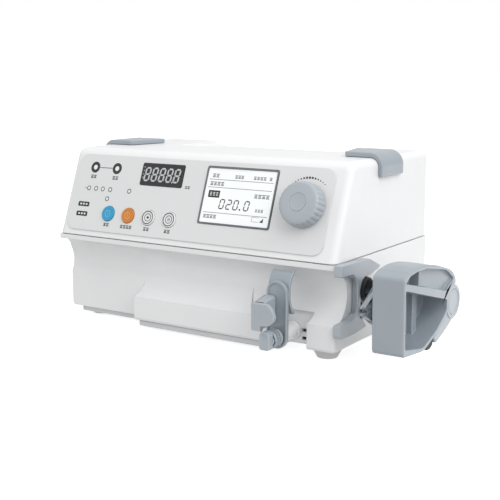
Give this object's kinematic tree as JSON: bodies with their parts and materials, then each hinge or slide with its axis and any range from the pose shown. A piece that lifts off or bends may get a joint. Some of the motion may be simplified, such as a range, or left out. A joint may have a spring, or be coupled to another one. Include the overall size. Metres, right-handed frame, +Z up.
{
  "type": "syringe infusion pump",
  "caption": "Bench-top syringe infusion pump with a sloping control panel, a syringe cradle with a sprung clamp, and a sliding drive head with a clutch lever and plunger claws.",
  "frame": {"origin": "bottom centre of the box round the whole pump, drive head included, on the surface it stands on", "axes": "+X to the pump's right along the syringe towards the drive head, +Y to the rear, +Z up; the control panel faces -Y"},
  "size_m": [0.361, 0.208, 0.1608],
  "materials": {
    "casing_white": "satin moulded ABS, very fine spark texture",
    "cover_pale": "fine-textured moulded plastic",
    "fascia_film": "velvet polyester overlay film",
    "slate_plastic": "satin blue-grey moulded plastic",
    "dark_window": "smoked gloss window",
    "bezel_grey": "semi-gloss dark grey frame",
    "display_glass": "backlit display behind a clear gloss pane",
    "button_blue": "satin",
    "button_orange": "satin",
    "button_white": "satin",
    "rubber_black": "matt moulded rubber",
    "foot_rubber": "matt grey rubber",
    "tube_black": "black hard anodised",
    "black_plastic": "matt",
    "steel": "turned and ground",
    "zinc_sheet": "passivated sheet",
    "cast_block": "milled",
    "bronze": "machined",
    "gear_nylon": "natural nylon",
    "board_green": "solder mask",
    "cell_pack": "shrink-wrapped cells",
    "motor_metal": "black lacquer"
  },
  "bodies": {
    "base": {"upper_casing": "casing_white", "lower_casing": "casing_white", "bottom_cover": "cover_pale", "end_trim": "slate_plastic", "tube_seal": "rubber_black", "bumper_right": "slate_plastic", "bumper_left": "slate_plastic", "foot_front_left": "foot_rubber", "foot_rear_left": "foot_rubber", "foot_front_right": "foot_rubber", "foot_rear_right": "foot_rubber", "rear_panel": "cover_pale", "mains_inlet": "black_plastic", "serial_port": "steel", "front_overlay": "fascia_film", "led_window": "dark_window", "lcd_bezel": "bezel_grey", "lcd_glass": "display_glass", "lcd_module": "zinc_sheet", "led_display": "black_plastic", "display_board": "board_green", "encoder": "zinc_sheet", "clamp_return_spring": "steel", "clamp_bushing": "casing_white", "stepper_motor": "motor_metal", "chassis_plate": "zinc_sheet", "screw_bearing_left": "cast_block", "screw_bearing_right": "cast_block", "main_board": "board_green", "power_supply": "zinc_sheet", "battery_pack": "cell_pack"},
    "head": {"drive_tube": "tube_black", "guide_rod": "steel", "carriage": "cast_block", "head_housing": "slate_plastic", "head_plate": "slate_plastic"},
    "lever": {"clutch_lever": "slate_plastic", "lever_tip": "rubber_black"},
    "upper_claw": {"upper_claw": "slate_plastic"},
    "lower_claw": {"lower_claw": "slate_plastic"},
    "clutch_rod": {"clutch_rod": "steel"},
    "half_nut": {"half_nut": "bronze"},
    "plunger_sensor": {"plunger_sensor": "rubber_black"},
    "screw": {"lead_screw": "steel", "screw_gear": "gear_nylon"},
    "motor": {"motor_pinion": "bronze"},
    "clamp_collar": {"clamp_collar": "steel"},
    "clamp_arm": {"clamp_rod": "steel", "clamp_arm": "slate_plastic", "clamp_jaw": "slate_plastic", "clamp_grip": "slate_plastic", "clamp_end_tab": "slate_plastic", "clamp_front_spring": "slate_plastic"},
    "encoder_shaft": {"encoder_shaft": "steel"},
    "knob": {"knob": "slate_plastic", "knob_cap": "slate_plastic"},
    "start_button": {"start_button": "button_blue"},
    "stop_button": {"stop_button": "button_orange"},
    "purge_button": {"purge_button": "button_white"},
    "mute_button": {"mute_button": "button_white"}
  },
  "joints": [
    {"name": "head_slide", "type": "slide", "parent": "base", "child": "head", "axis": [1, 0, 0], "range_m": [0, 0.11]},
    {"name": "screw_spin", "type": "hinge", "parent": "base", "child": "screw", "pos_m": [0.0085, -0.007, 0.054], "axis": [1, 0, 0], "continuous": true},
    {"name": "motor_spin", "type": "hinge", "parent": "base", "child": "motor", "pos_m": [-0.0975, 0.0182, 0.054], "axis": [1, 0, 0], "continuous": true},
    {"name": "clutch_lever_hinge", "type": "hinge", "parent": "head", "child": "lever", "pos_m": [0.1685, 0.007, 0.044], "axis": [1, 0, 0], "range_deg": [0, 25], "stiffness_Nm_per_rad": 0.15, "springref_deg": -11.46},
    {"name": "upper_claw_hinge", "type": "hinge", "parent": "head", "child": "upper_claw", "pos_m": [0.1485, -0.049, 0.0554], "axis": [1, 0, 0], "range_deg": [-22, 0]},
    {"name": "lower_claw_hinge", "type": "hinge", "parent": "head", "child": "lower_claw", "pos_m": [0.1485, -0.049, 0.0414], "axis": [1, 0, 0], "range_deg": [0, 22]},
    {"name": "clutch_rod_turn", "type": "hinge", "parent": "head", "child": "clutch_rod", "pos_m": [0.0585, -0.031, 0.054], "axis": [1, 0, 0], "range_deg": [0, 28]},
    {"name": "half_nut_drop", "type": "slide", "parent": "head", "child": "half_nut", "axis": [0, 0, -1], "range_m": [0, 0.0028]},
    {"name": "plunger_sensor_press", "type": "slide", "parent": "head", "child": "plunger_sensor", "axis": [1, 0, 0], "range_m": [0, 0.002], "stiffness_N_per_m": 150, "springref_m": -0.002},
    {"name": "clamp_pull", "type": "slide", "parent": "base", "child": "clamp_collar", "axis": [0, -1, 0], "range_m": [0, 0.03], "stiffness_N_per_m": 200, "springref_m": -0.01, "deforming": ["clamp_return_spring"]},
    {"name": "clamp_turn", "type": "hinge", "parent": "clamp_collar", "child": "clamp_arm", "pos_m": [0.0675, -0.071, 0.0185], "axis": [0, -1, 0], "range_deg": [0, 90]},
    {"name": "knob_push", "type": "slide", "parent": "base", "child": "encoder_shaft", "axis": [0, 0.9356, -0.353], "range_m": [0, 0.0007], "stiffness_N_per_m": 800, "springref_m": -0.001},
    {"name": "knob_turn", "type": "hinge", "parent": "encoder_shaft", "child": "knob", "pos_m": [0.0775, -0.05529, 0.12054], "axis": [0, -0.9356, 0.353], "continuous": true},
    {"name": "start_button_press", "type": "slide", "parent": "base", "child": "start_button", "axis": [0, 0.9356, -0.353], "range_m": [0, 0.0008], "stiffness_N_per_m": 400, "springref_m": -0.001},
    {"name": "stop_button_press", "type": "slide", "parent": "base", "child": "stop_button", "axis": [0, 0.9356, -0.353], "range_m": [0, 0.0008], "stiffness_N_per_m": 400, "springref_m": -0.001},
    {"name": "purge_button_press", "type": "slide", "parent": "base", "child": "purge_button", "axis": [0, 0.9356, -0.353], "range_m": [0, 0.0008], "stiffness_N_per_m": 400, "springref_m": -0.001},
    {"name": "mute_button_press", "type": "slide", "parent": "base", "child": "mute_button", "axis": [0, 0.9356, -0.353], "range_m": [0, 0.0008], "stiffness_N_per_m": 400, "springref_m": -0.001}
  ],
  "couplings": [
    {"joint": "screw_spin", "follows": "head_slide", "rad_per_m": 1570.8},
    {"joint": "motor_spin", "follows": "head_slide", "rad_per_m": -4712.4},
    {"joint": "upper_claw_hinge", "follows": "clutch_lever_hinge", "ratio": -0.8},
    {"joint": "lower_claw_hinge", "follows": "clutch_lever_hinge", "ratio": 0.8},
    {"joint": "clutch_rod_turn", "follows": "clutch_lever_hinge", "ratio": 1},
    {"joint": "half_nut_drop", "follows": "clutch_lever_hinge", "m_per_rad": 0.0057296}
  ]
}
